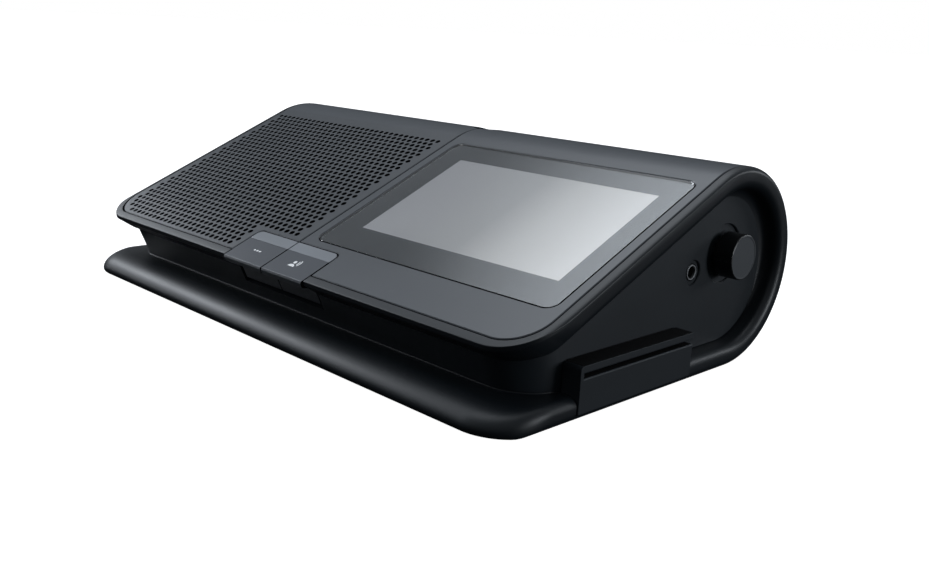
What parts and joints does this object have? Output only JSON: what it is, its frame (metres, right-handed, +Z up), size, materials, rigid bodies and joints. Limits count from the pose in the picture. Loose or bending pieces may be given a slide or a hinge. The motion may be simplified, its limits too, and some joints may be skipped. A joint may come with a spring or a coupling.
{
  "type": "conference delegate unit",
  "caption": "Tabletop conference unit: wedge body with a speaker grille, touch display, talk buttons, side volume knobs, headphone jacks, card slot and microphone socket.",
  "frame": {"origin": "centre of the footprint, on the table under the rubber feet", "axes": "+X along the width towards the display and card slot side, +Y to the back, +Z up"},
  "size_m": [0.26, 0.1538, 0.0728],
  "materials": {
    "shell": "fine moulded texture, near-black",
    "housing": "fine moulded texture, black",
    "panel": "satin charcoal paint",
    "button": "satin dark grey",
    "light_bar": "translucent light pipe, unlit",
    "glass": "flat cover glass with a printed border",
    "inner_plastic": "moulded black",
    "zinc_steel": "zinc plated",
    "nickel": "nickel plated",
    "contact_brass": "plated contacts",
    "cloth": "black acoustic cloth",
    "foam": "closed-cell foam",
    "cone_paper": "pressed paper cone",
    "ferrite": "sintered ferrite",
    "circuit": "green solder mask",
    "film": "amber flexible film",
    "rubber": "soft black rubber",
    "knob": "satin dark grey"
  },
  "bodies": {
    "casing": {"outer_shell": "shell", "body_housing": "housing", "bottom_cover": "housing", "speaker_panel": "panel", "display_bezel": "panel", "cover_glass": "glass", "lcd_module": "inner_plastic", "lcd_bracket": "zinc_steel", "display_ribbon": "film", "button_carrier": "inner_plastic", "hinge_pin": "zinc_steel", "button_board": "circuit", "tact_switch_mute": "inner_plastic", "tact_switch_speak": "inner_plastic", "grille_cloth": "cloth", "speaker_baffle": "inner_plastic", "speaker_gasket": "foam", "speaker_basket": "zinc_steel", "speaker_cone": "cone_paper", "speaker_magnet": "ferrite", "card_slot_bezel": "housing", "card_reader": "inner_plastic", "microphone_socket": "inner_plastic", "socket_insert": "contact_brass", "ballast_plate": "zinc_steel", "rubber_foot_front": "rubber", "rubber_foot_back": "rubber", "main_board": "circuit", "connector_bay": "inner_plastic", "network_socket_1": "zinc_steel", "network_socket_2": "zinc_steel", "speaker_screw_1": "zinc_steel", "cover_screw_1": "zinc_steel", "speaker_screw_2": "zinc_steel", "cover_screw_2": "zinc_steel", "speaker_screw_3": "zinc_steel", "cover_screw_3": "zinc_steel", "speaker_screw_4": "zinc_steel", "cover_screw_4": "zinc_steel", "encoder_left": "inner_plastic", "knob_nut_left": "nickel", "jack_collar_left": "nickel", "headphone_jack_left": "inner_plastic", "encoder_right": "inner_plastic", "knob_nut_right": "nickel", "jack_collar_right": "nickel", "headphone_jack_right": "inner_plastic"},
    "mute_key": {"button_mute": "button", "light_bar_mute": "light_bar"},
    "speak_key": {"button_speak": "button", "light_bar_speak": "light_bar"},
    "volume_dial_left": {"volume_knob_left": "knob", "knob_shaft_left": "zinc_steel"},
    "volume_dial_right": {"volume_knob_right": "knob", "knob_shaft_right": "zinc_steel"},
    "mic_release": {"mic_release_button": "button", "mic_latch": "zinc_steel"}
  },
  "joints": [
    {"name": "mute_press", "type": "hinge", "parent": "casing", "child": "mute_key", "pos_m": [0, -0.0498, 0.02972], "axis": [1, 0, 0], "range_deg": [0, 3], "stiffness_Nm_per_rad": 0.05, "springref_deg": -17.19},
    {"name": "speak_press", "type": "hinge", "parent": "casing", "child": "speak_key", "pos_m": [0, -0.0498, 0.02972], "axis": [1, 0, 0], "range_deg": [0, 3], "stiffness_Nm_per_rad": 0.05, "springref_deg": -17.19},
    {"name": "volume_turn_left", "type": "hinge", "parent": "casing", "child": "volume_dial_left", "pos_m": [-0.122, 0.0417, 0.0412], "axis": [-1, 0, 0], "range_deg": [-150, 150]},
    {"name": "volume_turn_right", "type": "hinge", "parent": "casing", "child": "volume_dial_right", "pos_m": [0.122, 0.0417, 0.0412], "axis": [1, 0, 0], "range_deg": [-150, 150]},
    {"name": "mic_release_press", "type": "slide", "parent": "casing", "child": "mic_release", "axis": [0, -1, 0], "range_m": [0, 0.0015], "stiffness_N_per_m": 500, "springref_m": -0.004}
  ]
}
